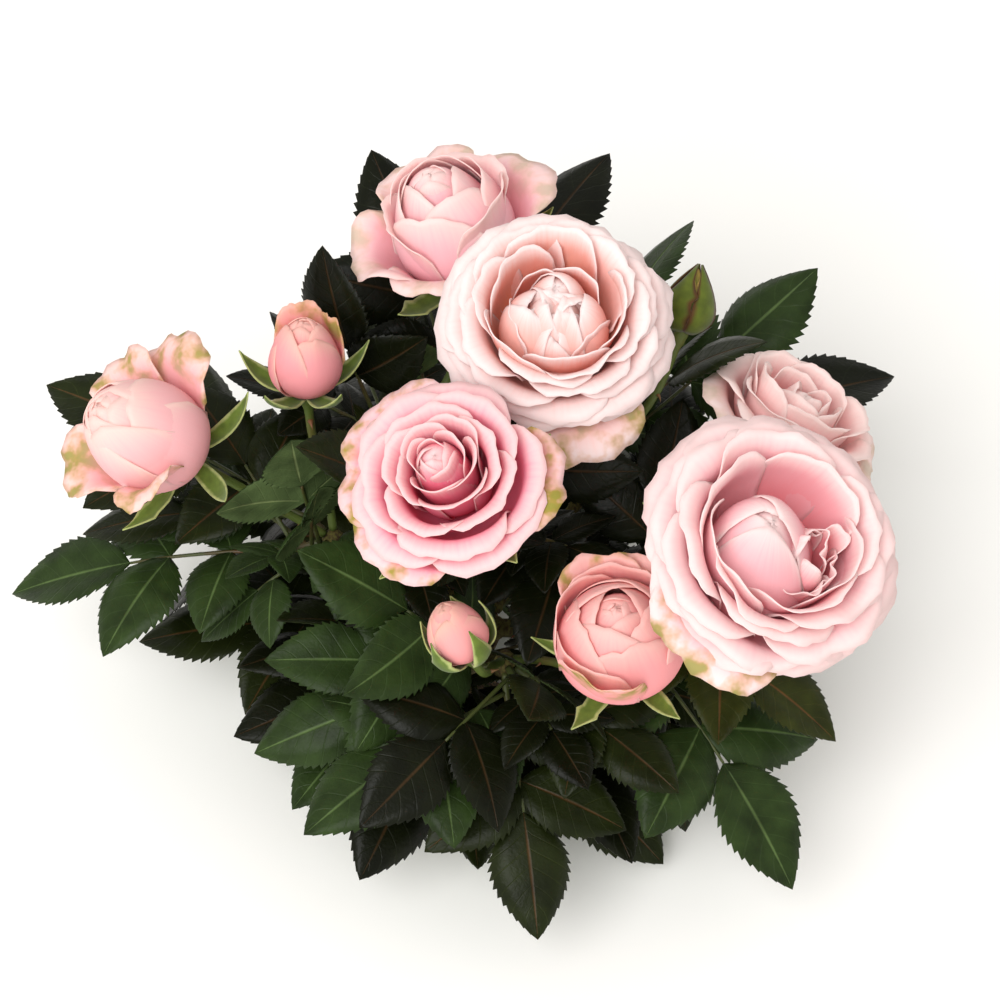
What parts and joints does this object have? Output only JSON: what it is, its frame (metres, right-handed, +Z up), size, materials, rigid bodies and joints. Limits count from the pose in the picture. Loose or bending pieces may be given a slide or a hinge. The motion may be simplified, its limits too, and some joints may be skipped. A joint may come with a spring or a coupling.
{
  "type": "rose bush",
  "caption": "Low rooted rose bush in flower: canes fork from a short stem's crown and carry masses of compound leaves, cupped pale pink blooms and buds.",
  "frame": {"origin": "centre of the flat cut under the main stem, at ground level", "axes": "+Z up, out of the ground; +X along the bush's greatest width; -Y towards the side the flowers lean to"},
  "size_m": [0.2587, 0.2181, 0.1689],
  "materials": {
    "bark": "dull brown bark",
    "cane": "smooth green cane",
    "leaf": "dark green leaf, slightly glossy",
    "petal": "soft pale pink petal",
    "calyx": "yellow-green sepal"
  },
  "bodies": {
    "root": {"main_stem": "bark", "cane_left": "cane", "cane_back_left": "cane", "cane_centre": "cane", "cane_front": "cane", "cane_right": "cane", "cane_back_right": "cane", "cane_back": "cane", "flower_upper": "petal", "flower_centre": "petal", "flower_right": "petal", "flower_back": "petal", "flower_far_right": "petal", "flower_left": "petal", "flower_front": "petal", "flower_left_bud": "petal", "flower_front_bud": "petal", "flower_green_bud": "calyx", "shoot_left_low": "leaf", "shoot_left_high": "leaf", "shoot_left_under": "leaf", "shoot_left_inner": "leaf", "shoot_left_foot": "leaf", "shoot_back_left_high": "leaf", "shoot_back_left_low": "leaf", "shoot_front_left": "leaf", "shoot_front_left_foot": "leaf", "shoot_front_left_low": "leaf", "shoot_front_mid": "leaf", "shoot_front_foot": "leaf", "shoot_front_inner": "leaf", "shoot_front_right": "leaf", "shoot_front_right_low": "leaf", "shoot_front_right_foot": "leaf", "shoot_right_low": "leaf", "shoot_right_inner": "leaf", "shoot_right_mid": "leaf", "shoot_right_back": "leaf", "shoot_right_high": "leaf", "shoot_right_upper": "leaf", "shoot_back_right_high": "leaf", "shoot_back_right_low": "leaf", "shoot_back_high": "leaf", "shoot_back_mid": "leaf", "shoot_back_low": "leaf", "shoot_back_low_left": "leaf", "shoot_centre_left": "leaf", "shoot_centre_right": "leaf"}
  },
  "joints": []
}
